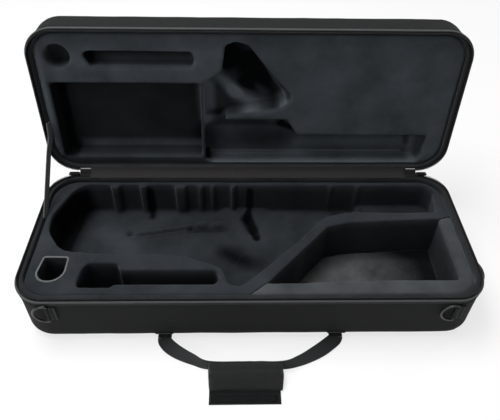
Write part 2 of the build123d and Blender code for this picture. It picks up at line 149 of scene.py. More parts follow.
hinge = next(j for j in frame["joints"] if j["name"] == "lid_hinge")
HINGE = Vector(hinge["pos_m"])
OPEN = math.radians(hinge["range_deg"][1])
CLOSE = Matrix.Translation((0, 0, BASE_H + ZIP_GAP + LID_H)) @ Matrix.Scale(-1, 4, (0, 0, 1))
SWING = Matrix.Translation(HINGE) @ Matrix.Rotation(-OPEN, 4, "X") @ Matrix.Translation(-HINGE)
TO_LID = SWING @ CLOSE
HALVES = {"base": BASE_H, "lid": LID_H}
print("cover", round(LENGTH, 3), "by", round(WIDTH, 3), "m, hinge line at", tuple(HINGE))

# %% [markdown]
# The camera stands in front of the case, a little left of its middle, and looks down at about
# forty degrees. Its place was worked out from the corners of the two rims in the photograph. The
# picture is 500 by 420, and the lens is shifted down a little, as in the photograph's crop.

# %% Camera
IMAGE_W = 500
FOCAL_PX = 541.9
CENTRE_RISE_PX = 46       # the lens's centre lies this far above the middle of the picture
SENSOR = 36.0
CAMERA_PLACE = (-0.0286, -0.6959, 0.9138)
YAW, PITCH, ROLL = (math.radians(v) for v in (1.985, 41.69, 1.407))

camera_data = bpy.data.cameras.new("camera")
camera_data.sensor_width = SENSOR
camera_data.lens = FOCAL_PX / IMAGE_W * SENSOR
camera_data.shift_y = -CENTRE_RISE_PX / IMAGE_W
ahead = Vector((math.sin(YAW) * math.cos(PITCH), math.cos(YAW) * math.cos(PITCH), -math.sin(PITCH)))
level = Vector((math.cos(YAW), -math.sin(YAW), 0))
upward = level.cross(ahead)
rightward = level * math.cos(ROLL) + upward * math.sin(ROLL)
top = upward * math.cos(ROLL) - level * math.sin(ROLL)
axes = Matrix((rightward, top, -ahead)).transposed().to_4x4()
camera = add_object("camera", camera_data)
camera.matrix_world = Matrix.Translation(CAMERA_PLACE) @ axes
bpy.context.scene.camera = camera
print("lens", round(camera_data.lens, 2), "mm")

# %% [markdown]
# A dark case in a white room: the floor is white, the light is broad and soft. The floor's
# material adds a white glow that only the camera and mirror reflections see, so the paper looks
# white while the case still lays a soft shadow on it and isn't lit more than it should be.

# %% Floor
FLOOR_HALF, FLOOR_DROP = 6.0, 0.0004
FLOOR_WHITE, FLOOR_GLOW = 0.86, 0.72

bm = bmesh.new()
bmesh.ops.create_grid(bm, x_segments=1, y_segments=1, size=FLOOR_HALF)
floor = add_object("floor", mesh_of(bm, "floor"))
floor.location.z = -FLOOR_DROP
floor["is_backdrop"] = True

paper = bpy.data.materials.new("white_floor")
paper.use_nodes = True
tree = paper.node_tree
tree.nodes.clear()
rays = add_node(tree, "LightPath").outputs
seen = math_node(tree, "MAXIMUM", rays["Is Camera Ray"], rays["Is Glossy Ray"])
matt = add_node(tree, "BsdfDiffuse", Color=(FLOOR_WHITE, FLOOR_WHITE, FLOOR_WHITE, 1))
mix = add_node(tree, "MixShader", Fac=math_node(tree, "MULTIPLY", seen, FLOOR_GLOW))
feed(tree, mix.inputs[1], matt.outputs[0])
feed(tree, mix.inputs[2], add_node(tree, "Emission").outputs[0])
add_node(tree, "OutputMaterial", Surface=mix.outputs[0])
floor.data.materials.append(paper)
print("floor", 2 * FLOOR_HALF, "m wide")

# %% Light
ROOM_STRENGTH = 0.30
LAMPS = {                 # place, aim, size in metres, watts
    "overhead": ((-0.7, 0.2, 2.3), (0, 0.05, 0.1), (1.5, 1.0), 62),
    "left_front": ((-1.9, -1.5, 1.5), (0, 0, 0.1), (1.0, 0.8), 14),
    "right_back": ((1.9, 1.4, 1.6), (0.2, 0, 0.1), (0.8, 0.8), 8)}

world = bpy.data.worlds.new("room")
bpy.context.scene.world = world
world.use_nodes = True
background = world.node_tree.nodes["Background"].inputs
background["Color"].default_value = (1, 1, 1, 1)
background["Strength"].default_value = ROOM_STRENGTH
for name, (place, aim, size, watts) in LAMPS.items():
    data = bpy.data.lights.new(name, "AREA")
    data.shape = "RECTANGLE"
    data.size, data.size_y = size
    data.energy = watts
    lamp = add_object(name, data)
    lamp.location = place
    lamp.rotation_euler = (Vector(aim) - Vector(place)).to_track_quat("-Z", "Y").to_euler()
bpy.context.scene.view_settings.view_transform = "Standard"
print("room light and lamps:", list(LAMPS))

# %% [markdown]
# Cloth needs a direction: threads run along the case and across it, also round its corners. So
# each cloth piece gets a UV map in metres. On a wall, U is the distance round the rim from the
# middle of the front and V is the height. On a flat panel U and V are simply x and y. The map is
# made while the piece is still drawn as a tray, so base and lid have the same threads.

# %% Distance round the rim, and places along it
HALF_ROUND = STRAIGHT_X * 2 + STRAIGHT_Y * 2 + QUARTER * 2


def rim_distance(x, y):
    """Distance round the outline from the front's middle, positive to the right."""
    over_x, over_y = abs(x) - STRAIGHT_X, abs(y) - STRAIGHT_Y
    if over_x > 0 and over_y > 0:
        run = STRAIGHT_X + QUARTER * (1 - math.atan2(over_y, over_x) / (math.pi / 2))
    elif over_y > 0:
        run = abs(x)
    else:
        run = STRAIGHT_X + QUARTER + STRAIGHT_Y - abs(y)
    if y > 0:             # the back half mirrors the front half
        run = HALF_ROUND - run
    return math.copysign(run, x)


def rim_place(run, inset, z):
    """Matrix at a distance round the rim: X along the rim, Y inwards, Z up."""
    away = min(abs(run), HALF_ROUND - abs(run))
    if away < STRAIGHT_X:
        x, y, turn = away, -WIDTH / 2 + inset, 0.0
    elif away < STRAIGHT_X + QUARTER:
        turn = (away - STRAIGHT_X) / CORNER_R
        reach = CORNER_R - inset
        x, y = STRAIGHT_X + reach * math.sin(turn), -STRAIGHT_Y - reach * math.cos(turn)
    else:
        x, y, turn = LENGTH / 2 - inset, away - STRAIGHT_X - QUARTER - STRAIGHT_Y, math.pi / 2
    if abs(run) > HALF_ROUND / 2:
        y, turn = -y, math.pi - turn
    if run < 0:
        x, turn = -x, -turn
    return Matrix.Translation((x, y, z)) @ Matrix.Rotation(turn, 4, "Z")


print("once round the rim:", round(2 * HALF_ROUND, 3), "m")

# %% A UV map in metres, and the step from bmesh to a finished piece
FLAT_NORMAL = 0.72


def cloth_uv(bm):
    bm.normal_update()
    layer = bm.loops.layers.uv.new("cloth")
    for face in bm.faces:
        centre = face.calc_center_median()
        flat = abs(face.normal.z) > FLAT_NORMAL
        for loop in face.loops:
            x, y, z = loop.vert.co
            if flat:
                loop[layer].uv = (x, y)
            else:
                run = rim_distance(x, y)
                if abs(run) > HALF_ROUND / 2 and x * centre.x < 0:
                    run = -run
                loop[layer].uv = (run, z)


def to_lid(bm):
    """Turn a tray over and lean it back, as the open lid stands."""
    bmesh.ops.transform(bm, matrix=TO_LID, verts=bm.verts)
    bmesh.ops.reverse_faces(bm, faces=bm.faces)


def finish_piece(name, bm, material, body, replaced=()):
    mesh = mesh_of(bm, name)
    mesh.polygons.foreach_set("use_smooth", [True] * len(mesh.polygons))
    mesh.materials.append(material)
    piece = add_object(name, mesh)
    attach(piece, body)
    if replaced:
        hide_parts(*replaced)
    print(name, len(mesh.polygons), "faces")
    return piece


def finish_half(half, name, bm, material, replaced=()):
    """Finish a piece that each half has, drawn as a tray. The half's name begins all its names."""
    if half == "lid":
        to_lid(bm)
    return finish_piece(half + name, bm, material, half, [half + node for node in replaced])


def thicken(piece, thickness, offset=0.0):
    thick = piece.modifiers.new("thickness", "SOLIDIFY")
    thick.thickness = thickness
    thick.offset = offset


def cloth_strip(name, bm, material, body, slot, replaced, thickness, **sheet):
    """Finish a thin piece and give it its thickness."""
    piece = finish_piece(name, bm, material, body, replaced)
    thicken(piece, thickness)


# %% [markdown]
# Materials. Three effects are shared by several of them, so each is a node group: a plain weave
# of threads that pass over and under each other, a pile whose nap lies a little differently from
# patch to patch, and lint that has settled on the cloth. The groups only hand out numbers that
# change over the surface, and each material does its own colouring and shading with them.

# %% Shared effect groups
def new_group(name, label, value, outputs):
    """A node group that takes a place and one number. Returns both, and its result node."""
    group = bpy.data.node_groups.new(name, "ShaderNodeTree")
    group.interface.new_socket("Vector", in_out="INPUT", socket_type="NodeSocketVector")
    number = group.interface.new_socket(label, in_out="INPUT", socket_type="NodeSocketFloat")
    number.default_value = value
    for output in outputs:
        group.interface.new_socket(output, in_out="OUTPUT", socket_type="NodeSocketFloat")
    given = group.nodes.new("NodeGroupInput").outputs
    return group, given["Vector"], given[label], group.nodes.new("NodeGroupOutput")


def noise_value(tree, vector, scale, detail=2.0, roughness=0.5):
    return add_node(tree, "TexNoise", Vector=vector, Scale=scale, Detail=detail,
                    Roughness=roughness).outputs["Fac"]


weave_group, vector, threads, result = new_group("weave", "Threads per metre", 700.0, ["Height"])
calc = partial(math_node, weave_group)
split = weave_group.nodes.new("ShaderNodeSeparateXYZ")
feed(weave_group, split.inputs[0], vector)
warp, weft = (calc("MULTIPLY", split.outputs[axis], threads) for axis in "XY")
over = calc("PINGPONG", calc("ADD", calc("FLOOR", warp), calc("FLOOR", weft)), 1.0)
height = calc("ADD", calc("MULTIPLY", calc("PINGPONG", warp, 0.5), over),
              calc("MULTIPLY", calc("PINGPONG", weft, 0.5), calc("SUBTRACT", 1.0, over)))
fill(weave_group, result, Height=height)

pile_group, vector, nap_scale, result = new_group("pile", "Nap per metre", 14.0,
                                                  ["Nap", "Tufts", "Height"])
calc = partial(math_node, pile_group)
nap = noise_value(pile_group, vector, nap_scale, 3.0, 0.6)
tufts = noise_value(pile_group, vector, 900.0, 1.0)
drift = noise_value(pile_group, vector, 120.0)
fill(pile_group, result, Nap=nap, Tufts=tufts, Height=calc("ADD", tufts, calc("MULTIPLY", drift, 0.8)))

lint_group, vector, amount, result = new_group("lint", "Amount", 0.5, ["Specks"])
calc = partial(math_node, lint_group)
cells = add_node(lint_group, "TexVoronoi", Vector=vector, Scale=160.0)
near = calc("LESS_THAN", cells.outputs["Distance"], 0.09)
where = calc("GREATER_THAN", noise_value(lint_group, vector, 9.0), 0.52)
fill(lint_group, result, Specks=calc("MULTIPLY", calc("MULTIPLY", near, where), amount))
print("node groups:", [g.name for g in (weave_group, pile_group, lint_group)])

# %% Materials made of them
CLOTH_DUST, CLOTH_LINT = (0.16, 0.165, 0.17), 0.4
PILE_DUST, PILE_TINT = (0.10, 0.105, 0.11), (0.82, 0.91, 1.0, 1)
# Painted shade and light on the pile: the darkest colour painted where its shade is high, and the gain
# that lifts its light colour into a painted highlight.
PAINTED_SHADE_COLOUR, PAINTED_HIGHLIGHT_GAIN = (0.0012, 0.0015, 0.0018), 2.4


def linear(colour):
    """A linear colour from ten-thousandths."""
    return tuple(part / 10000 for part in colour)


def start_material(name, roughness, **inputs):
    """A material with some inputs of its shader set, and what its texture is made with."""
    material = bpy.data.materials.new(name)
    material.use_nodes = True
    tree = material.node_tree
    shader = fill(tree, tree.nodes["Principled BSDF"], Roughness=roughness, **inputs)
    place = add_node(tree, "TexCoord").outputs["Object"]
    return material, tree, shader, place, partial(math_node, tree)


def use_group(tree, group, **inputs):
    node = tree.nodes.new("ShaderNodeGroup")
    node.node_tree = group
    return fill(tree, node, **inputs).outputs


def blend_colours(tree, factor, dark, light):
    node = add_node(tree, "Mix")
    node.data_type = "RGBA"
    for socket, value in zip((node.inputs["Factor"], *node.inputs[6:8]), (factor, dark, light)):
        feed(tree, socket, (*value, 1) if isinstance(value, tuple) else value)
    return node.outputs[2]


def dusted(tree, place, amount, colour, dust):
    """A colour with specks of lint on it."""
    specks = use_group(tree, lint_group, Vector=place, Amount=amount)["Specks"]
    return blend_colours(tree, specks, colour, dust)


def bump(tree, height, distance):
    return add_node(tree, "Bump", Height=height, Distance=distance, Strength=1.0).outputs["Normal"]


print("colours in ten-thousandths, for example", linear((30, 33, 35)))

# %% Woven cloth
def woven(name, dark, light, threads, relief, sheen=0.15, gloss=0.3):
    """Woven cloth: a thread pattern on the UV map, slow changes of tone and a little lint."""
    material, tree, shader, place, calc = start_material(
        name, 0.8, Sheen_Weight=sheen, Sheen_Roughness=0.6, Specular_IOR_Level=gloss)
    uv_map = add_node(tree, "UVMap")
    uv_map.uv_map = "cloth"
    uv = uv_map.outputs[0]
    height = use_group(tree, weave_group, Vector=uv, Threads_per_metre=threads)["Height"]
    tone = noise_value(tree, place, 30.0, 4.0, 0.65)
    slub = noise_value(tree, uv, threads * 0.45, 1.0)
    level = calc("ADD", calc("MULTIPLY", height, 0.7), calc("MULTIPLY", calc("ADD", tone, slub), 0.33))
    colour = blend_colours(tree, level, linear(dark), linear(light))
    fill(tree, shader, Base_Color=dusted(tree, place, CLOTH_LINT, colour, CLOTH_DUST),
         Normal=bump(tree, calc("ADD", height, calc("MULTIPLY", slub, 0.5)), relief))
    return material


# Name, dark and light colour in ten-thousandths, threads per metre, relief in metres, sheen, gloss.
COVER = woven("cover_cloth", (30, 33, 35), (160, 168, 172), 780, 0.00035, 0.02, 0.12)
BINDING = woven("binding_tape", (130, 142, 150), (480, 515, 530), 1100, 0.0002, 0.04, 0.15)
DARK_THREAD = woven("binding_thread", (15, 16, 18), (60, 64, 68), 2500, 0.0001, 0.0, 0.05)
PIPING = woven("piping_cloth", (180, 200, 210), (680, 730, 750), 1500, 0.0001, 0.2)
TAPE = woven("zip_tape_cloth", (40, 40, 45), (180, 180, 190), 1300, 0.0002, 0.03, 0.15)
LINING = woven("hinge_lining_cloth", (80, 70, 75), (240, 215, 225), 900, 0.0002, 0.05)
WEBBING = woven("ribbed_webbing", (60, 67, 75), (280, 300, 315), 620, 0.0005, 0.06, 0.2)
# strap_webbing is painted lighter than its own colour, as painted light on its shaded side.
STRAP = woven("strap_webbing", (600, 630, 660), (1900, 1980, 2040), 620, 0.0005, 0.1)
PATCH = woven("sewn_webbing", (50, 60, 60), (200, 210, 220), 620, 0.0004, 0.03, 0.15)
GRIP = woven("grip_cloth", (30, 33, 36), (165, 173, 180), 900, 0.0003, 0.10, 0.12)
# flap_cloth is the grip's cloth painted darker, as painted shade on the flap.
FLAP = woven("flap_cloth", (28, 32, 34), (125, 134, 138), 900, 0.0003, 0.0, 0.05)
THREAD = woven("stitch_thread", (350, 370, 380), (1250, 1300, 1320), 2500, 0.0001)
print("cloths:", len(bpy.data.materials) - 1)

# %% Plush
def plush(name, dark, light, lint=0.3, sheen=0.35, nap=14.0):
    """Short pile: nap patches, fine tufts, a soft sheen at grazing angles.

    Where the piece's shade is above 0 the pile is painted darker, as shade, and shines less.
    Below 0 a highlight is painted on it, lighter than the dyed colour."""
    material, tree, shader, place, calc = start_material(
        name, 0.95, Sheen_Roughness=0.45, Sheen_Tint=PILE_TINT)
    pile = use_group(tree, pile_group, Vector=place, Nap_per_metre=nap)
    attribute = add_node(tree, "Attribute")
    attribute.attribute_name = "shade"
    shade = attribute.outputs["Fac"]
    mottle = calc("MULTIPLY", calc("SUBTRACT", pile["Nap"], 0.27), 1.5)
    level = calc("ADD", mottle, calc("MULTIPLY", pile["Tufts"], 0.35))
    colour = blend_colours(tree, level, linear(dark), linear(light))
    painted_highlight = tuple(min(1.0, PAINTED_HIGHLIGHT_GAIN * part) for part in linear(light))
    highlighted = blend_colours(tree, calc("MULTIPLY", shade, -1.0), colour, painted_highlight)
    shaded = blend_colours(tree, shade, highlighted, PAINTED_SHADE_COLOUR)
    unshaded_share = calc("SUBTRACT", 1.0, calc("MULTIPLY", shade, 0.8))
    fill(tree, shader, Base_Color=dusted(tree, place, lint, shaded, PILE_DUST),
         Sheen_Weight=calc("MULTIPLY", unshaded_share, sheen),
         Specular_IOR_Level=calc("MULTIPLY", unshaded_share, 0.15), Normal=bump(tree, pile["Height"], 0.0006))
    return material


# grey_plush, bar_plush and lid_plush are one plush in three tones: the base's darker, the bar's and the
# lid's lighter, as painted shade and light.
PLUSH = plush("grey_plush", (88, 108, 132), (290, 335, 390), sheen=0.12)
PLUSH_FLOOR = plush("floor_plush", (200, 210, 220), (1000, 1030, 1060), lint=1.0, nap=20.0)
WELT = plush("rim_lining", (85, 98, 110), (260, 285, 310), sheen=0.1, nap=22.0)
BAR = plush("bar_plush", (240, 270, 290), (640, 690, 730), sheen=0.15)
LID_PLUSH = plush("lid_plush", (175, 215, 255), (530, 620, 715), sheen=0.15)
EDGING = plush("light_edging", (800, 840, 840), (1250, 1290, 1290), lint=0.0, nap=40.0)
FOAM = plush("foam_shell", (200, 200, 200), (500, 500, 500), lint=0.0)
print("plush: shade 0 is as dyed, above 0 dark, below 0 brushed light")

# %% Metal
def metal(name, colour, roughness, scratch):
    """Plated wire or cast zinc: fine rubbed marks in its gloss."""
    material, tree, shader, place, calc = start_material(name, roughness, Metallic=1.0)
    rubbed = noise_value(tree, place, 260.0, 5.0, 0.7)
    worn = tuple(min(1.0, part * 1.7) for part in linear(colour))
    fill(tree, shader, Base_Color=blend_colours(tree, rubbed, linear(colour), worn),
         Roughness=calc("ADD", calc("MULTIPLY", rubbed, scratch), roughness - scratch / 2),
         Normal=bump(tree, rubbed, 0.00008))
    return material


TEETH = metal("zip_teeth_black", (300, 300, 320), 0.35, 0.15)
SLIDER = metal("gunmetal", (1300, 1300, 1350), 0.38, 0.2)
RING = metal("dark_plate", (500, 500, 500), 0.34, 0.2)
print("materials:", len(bpy.data.materials))

# %% [markdown]
# The cover of each half is one woven skin over the foam. A rounded tray is quick to make from a
# cube: bevel the four upright edges to the plan's rounding, bevel the bottom's edges, and take
# the top away. Long flat quads can't ripple, so the walls are diced with parallel cuts first.
# Cloth pulled over foam is never quite flat, so a slow noise moves it in and out by less than a
# millimetre.

# %% Covers
def dice(bm, axis, spacing, low, high):
    """Cut the whole mesh with parallel planes."""
    count = max(1, round((high - low) / spacing))
    normal = Vector((0, 0, 0))
    normal[axis] = 1
    for i in range(1, count):
        at = Vector((0, 0, 0))
        at[axis] = low + (high - low) * i / count
        bmesh.ops.bisect_plane(bm, geom=bm.verts[:] + bm.edges[:] + bm.faces[:], dist=1e-6,
                               plane_co=at, plane_no=normal)


def round_edges(bm, edges, radius, segments):
    bmesh.ops.bevel(bm, geom=edges, offset=radius, affect="EDGES", segments=segments, profile=0.5,
                    material=-1)


def tray_skin(height):
    bm = bmesh.new()
    bmesh.ops.create_cube(bm, size=1.0)
    bmesh.ops.scale(bm, vec=(LENGTH, WIDTH, height), verts=bm.verts)
    bmesh.ops.translate(bm, vec=(0, 0, height / 2), verts=bm.verts)
    upright = [e for e in bm.edges if abs(e.verts[0].co.z - e.verts[1].co.z) > height / 2]
    round_edges(bm, upright, CORNER_R, 12)
    under = [e for e in bm.edges if max(v.co.z for v in e.verts) < 1e-5]
    round_edges(bm, under, EDGE_R, 6)
    lid = [f for f in bm.faces if f.normal.z > 0.9 and f.calc_center_median().z > height - 1e-4]
    bmesh.ops.delete(bm, geom=lid, context="FACES_ONLY")
    return bm


def ripple(bm, size, slow, quick):
    """Move the surface in and out along its normals by a slow noise and a quicker one."""
    bm.normal_update()
    for vert in bm.verts:
        amount = size * (noise.noise(vert.co * slow) + 0.4 * noise.noise(vert.co * quick))
        vert.co += vert.normal * amount


COVER_CELL = 0.012
for half, height in HALVES.items():
    cover_top = height - PIPING_DROP
    bm = tray_skin(cover_top)
    dice(bm, 0, COVER_CELL, -LENGTH / 2, LENGTH / 2)
    dice(bm, 1, COVER_CELL, -WIDTH / 2, WIDTH / 2)
    dice(bm, 2, 0.010, EDGE_R, height)
    cloth_uv(bm)
    bm.normal_update()
    for vert in [v for v in bm.verts if v.co.z > EDGE_R * 0.5]:
        calm = min(1.0, (cover_top - vert.co.z) / 0.012)
        amount = 0.0007 * noise.noise(vert.co * 14) + 0.0003 * noise.noise(vert.co * 45)
        vert.co += vert.normal * (amount - 0.0003) * calm
    area = round(sum(face.calc_area() for face in bm.faces), 4)
    piece = finish_half(half, "_woven_cover", bm, COVER,
                        ("_cover", "_cover_edge", "_cover_panel"))
    thicken(piece, COVER_T, -1)

# %% [markdown]
# Everything along the rim is a narrow section carried once round the case: the piping cord, the
# binding tape, the zip's tape. A section is a ring of a few vertices that starts at the back. On a
# straight it is extruded in even steps, and round a corner it is spun.

# %% Carry a section round the rim
def carry(bm, ring, way, distance, spacing):
    steps = max(1, round(distance / spacing))
    out = bmesh.ops.spin(bm, geom=ring, cent=(0, 0, 0), axis=(0, 0, 1), angle=0, steps=steps,
                         dvec=Vector(way) * distance / steps)
    return out["geom_last"]


def corner(bm, ring, centre, spacing):
    steps = max(6, round(QUARTER / spacing))
    out = bmesh.ops.spin(bm, geom=ring, cent=(*centre, 0), axis=(0, 0, 1), angle=math.pi / 2,
                         steps=steps)
    return out["geom_last"]


def rim_band(section, spacing, end_x=None):
    """Carry a ring of (outset, z) pairs round. end_x leaves the back open from -end_x to end_x."""
    bm = bmesh.new()
    start_x = 0.0 if end_x is None else -end_x
    ring = [bm.verts.new((start_x, WIDTH / 2 + out, z)) for out, z in section]
    ring += [bm.edges.new((ring[i - 1], ring[i])) for i in range(len(section))]
    if end_x is not None:
        bm.faces.new(ring[:len(section)])
    back = STRAIGHT_X + start_x
    ring = carry(bm, ring, (-1, 0, 0), back, spacing)
    for right, rear, way, distance in (
            (-1, 1, (0, -1, 0), 2 * STRAIGHT_Y), (-1, -1, (1, 0, 0), 2 * STRAIGHT_X),
            (1, -1, (0, 1, 0), 2 * STRAIGHT_Y), (1, 1, (-1, 0, 0), back)):
        ring = corner(bm, ring, (right * STRAIGHT_X, rear * STRAIGHT_Y), spacing)
        ring = carry(bm, ring, way, distance, spacing)
    if end_x is not None:
        bmesh.ops.contextual_create(bm, geom=[g for g in ring if isinstance(g, bmesh.types.BMVert)])
    bmesh.ops.remove_doubles(bm, verts=bm.verts, dist=1e-6)
    bmesh.ops.recalc_face_normals(bm, faces=bm.faces)
    cloth_uv(bm)
    return bm


def round_section(centre_out, centre_z, radius, sides):
    turn = 2 * math.pi / sides
    return [(centre_out + radius * math.cos(i * turn), centre_z + radius * math.sin(i * turn))
            for i in range(sides)]


# %% [markdown]
# The piping is a cloth-covered cord sewn in where the cover meets the rim. It is round, and it
# stands out from the wall.

# %% Piping
PIPING_R = 0.0017
PIPING_OUT = 0.0007       # its centre line outside the cover's face

for half, height in HALVES.items():
    bm = rim_band(round_section(PIPING_OUT, height - PIPING_R, PIPING_R, 10), 0.006)
    finish_half(half, "_piping_cord", bm, PIPING, ("_piping",))

# %% [markdown]
# Below the piping runs a binding tape, held by a row of dark stitches. The tape is a flat closed
# section. A stitch is a small block of thread, made once and set round the rim by a loop.

# %% Binding and its stitches
BINDING_TOP, BINDING_BOTTOM, BINDING_T = 0.005, 0.013, 0.0009
STITCH_PITCH = 0.0038
STITCH_DROP = 0.0112      # row of stitches below the rim
STITCH_SIZE = (0.0021, 0.0006, 0.0032)


def small_block(name, size):
    """A small rounded block, for a stitch or a tooth."""
    bm = bmesh.new()
    bmesh.ops.create_cube(bm, size=1.0)
    bmesh.ops.scale(bm, vec=size, verts=bm.verts)
    round_edges(bm, bm.edges[:], min(size) * 0.3, 1)
    return mesh_of(bm, name)


def copy_round(pattern, matrices):
    """Repeat a small mesh at many places."""
    bm = bmesh.new()
    for matrix in matrices:
        before = len(bm.verts)
        bm.from_mesh(pattern)
        bm.verts.ensure_lookup_table()
        bmesh.ops.transform(bm, matrix=matrix, verts=bm.verts[before:])
    cloth_uv(bm)
    return bm


stitch = small_block("stitch_pattern", STITCH_SIZE)
stitch_runs = spaced(-HALF_ROUND, HALF_ROUND, round(2 * HALF_ROUND / STITCH_PITCH))
for half, height in HALVES.items():
    top, bottom = height - BINDING_TOP, height - BINDING_BOTTOM
    section = [(0.0, bottom), (BINDING_T * 0.7, bottom + 0.0003), (BINDING_T, (top + bottom) / 2),
               (BINDING_T * 0.8, top - 0.0003), (0.0, top)]
    bm = rim_band(section, 0.004)
    finish_half(half, "_binding_tape", bm, BINDING, ("_binding",))
    bm = copy_round(stitch, [rim_place(run, -BINDING_T, height - STITCH_DROP) for run in stitch_runs])
    finish_half(half, "_binding_stitches", bm, DARK_THREAD)

# %% [markdown]
# Each zip half is a tape that stands up from the rim with a row of teeth along its edge. Open, the
# teeth show as a fine dark comb round both halves. One tooth is modelled and repeated.

# %% Zip tape and teeth
ZIP_RISE, ZIP_END_X = 0.0057, 0.361
TOOTH_W, TOOTH_DEEP, TOOTH_H, TOOTH_PITCH, TOOTH_INSET = 0.0015, 0.0024, 0.0034, 0.0027, 0.0021
TAPE_T, SHOULDER_DROP = 0.0008, 0.014

tooth = small_block("tooth_pattern", (TOOTH_W, TOOTH_DEEP, TOOTH_H))
zip_run = HALF_ROUND - ZIP_END_X
for half, height in HALVES.items():
    low, high = height - SHOULDER_DROP, height + ZIP_RISE - TOOTH_H
    inner = -COVER_T - TAPE_T
    section = [(-COVER_T, low), (-COVER_T, high), (inner, high), (inner, low)]
    bm = rim_band(section, 0.006, ZIP_END_X)
    piece = finish_half(half, "_zip_half", bm, TAPE, ("_zip_tape",))
    runs = spaced(-zip_run, zip_run, round(2 * zip_run / TOOTH_PITCH), 0.25 if half == "base" else 0.75)
    tooth_z = height + ZIP_RISE - TOOTH_H / 2
    bm = copy_round(tooth, [rim_place(run, TOOTH_INSET, tooth_z) for run in runs])
    finish_half(half, "_teeth", bm, TEETH, ("_zip_teeth",))

# %% [markdown]
# The plush inlay, the lining roll and the other foam pieces have soft rolled edges that no bevel
# gives well where pockets cross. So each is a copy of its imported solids, covered afresh with small
# even quads and then relaxed: the edges sink in and round off, as pile over foam does. The lid's
# copy is laid back down as a tray first, so that its pocket floors face up.

# %% Soft copies of the foam pieces
def even_skin(bm, name, voxel):
    """Cover a closed mesh afresh with small even quads."""
    blank = add_object(name, mesh_of(bm, name))
    skin = blank.modifiers.new("even_skin", "REMESH")
    skin.mode = "VOXEL"
    skin.voxel_size = voxel
    even = bpy.data.meshes.new_from_object(blank.evaluated_get(bpy.context.evaluated_depsgraph_get()))
    bpy.data.objects.remove(blank)
    bm = bmesh.new()
    bm.from_mesh(even)
    return bm


def relax(bm, rounds, verts=None):
    for _ in range(rounds):
        bmesh.ops.smooth_vert(bm, verts=bm.verts if verts is None else verts, factor=0.5,
                              use_axis_x=True, use_axis_y=True, use_axis_z=True)


def soft_copy(names, voxel, rounds, tray_lid=False):
    bm = bmesh.new()
    for name in names:
        bm.from_mesh(nodes[name].data)
    if tray_lid:
        bmesh.ops.transform(bm, matrix=TO_LID.inverted(), verts=bm.verts)
        bmesh.ops.reverse_faces(bm, faces=bm.faces)
    bm = even_skin(bm, names[0] + "_even", voxel)
    relax(bm, rounds)
    return bm


for half in HALVES:
    bm = soft_copy([half + "_rim_welt"], 0.002, 2, half == "lid")
    ripple(bm, 0.0006, 22, 90)
    piece = finish_half(half, "_lining_roll", bm, WELT, ("_rim_welt",))

# %% [markdown]
# The inlay is pressed foam under plush, and the instrument's keys have left their print in it. The
# prints are raised and sunk lines: each is a short list of points with a width and a height, and
# every vertex near the line moves by a smooth bump. Each vertex also carries a shade value for the
# material, which paints light and shade on the pile: walls and deep places are painted darker, as
# shadow falls there, and strokes and patches paint more shade above 0 and highlights below 0.

# %% Prints in the plush
def bump_near(x, y, a, b, width):
    """1 on the line from a to b, easing to 0 at width from it."""
    dx, dy = b[0] - a[0], b[1] - a[1]
    along = ((x - a[0]) * dx + (y - a[1]) * dy) / (dx * dx + dy * dy or 1)
    along = min(1.0, max(0.0, along))
    gap = math.hypot(x - a[0] - along * dx, y - a[1] - along * dy) / width
    return 0.0 if gap >= 1 else (1 - gap * gap) ** 2


def press(bm, prints, low, high):
    """Raise or sink the floors between the heights low and high along the given lines."""
    for vert in bm.verts:
        if low < vert.co.z < high and vert.normal.z > 0.5:
            x, y = vert.co.x, vert.co.y
            for a, b, width, rise in prints:
                vert.co.z += rise * bump_near(x, y, a, b, width)


def inside(x, y, x0, x1, y0, y1, soft):
    """1 well inside a rectangle, easing to 0 across its edge."""
    near = min(x - x0, x1 - x, y - y0, y1 - y)
    return min(1.0, max(0.0, 0.5 + near / soft))


def add_shade(bm, top_z, wall_dark, depth_dark, reach, strokes=(), patches=()):
    """Store painted shade for the pile: steep and deep places are painted darker; below 0 a highlight is
    painted.
    """
    layer = bm.verts.layers.float.new("shade")
    bm.normal_update()
    for vert in bm.verts:
        x, y, z = vert.co
        depth = min(1.0, max(0.0, (top_z - 0.004 - z) / reach))
        steep = min(1.0, max(0.0, 1.15 - abs(vert.normal.z) * 1.3)) * min(1.0, depth * 4)
        shade = wall_dark * steep + depth_dark * depth
        below = min(1.0, depth * 5)
        for a, b, width, amount in strokes:
            shade += below * amount * bump_near(x, y, a, b, width)
        for x0, x1, y0, y1, soft, amount in patches:
            shade += amount * inside(x, y, x0, x1, y0, y1, soft)
        vert[layer] = min(0.97, max(-0.9, shade))


def settle(bm, below, rounds, near=None):
    """Relax only what lies lower than a height, so that floors run smoothly into walls."""
    low = [v for v in bm.verts if 0.012 < v.co.z < below]
    if near:
        (x, y), reach = near
        low = [v for v in low if math.hypot(v.co.x - x, v.co.y - y) < reach]
    relax(bm, rounds, low)


def lid_y(v):
    """y in the lid's tray, from the height v up the open lid in millimetres."""
    return HINGE.y - v / 1000


def brush(rows, to_y=lambda y: y / 1000):
    """Lines in metres, from rows of x and y of both ends and a width in millimetres, and an amount."""
    return [((xa / 1000, to_y(ya)), (xb / 1000, to_y(yb)), width / 1000, amount)
            for xa, ya, xb, yb, width, amount in rows]


print("brushes: lines and patches, in metres")

# %% Where the keys press, and where shade and highlights are painted on the pile
LAND_Z, LID_LAND_Z = BASE_H - 0.008, LID_H - 0.008
WELL_SETTLE = ((-0.010, 0.045), 0.105)      # the bell's deep place: centre and reach
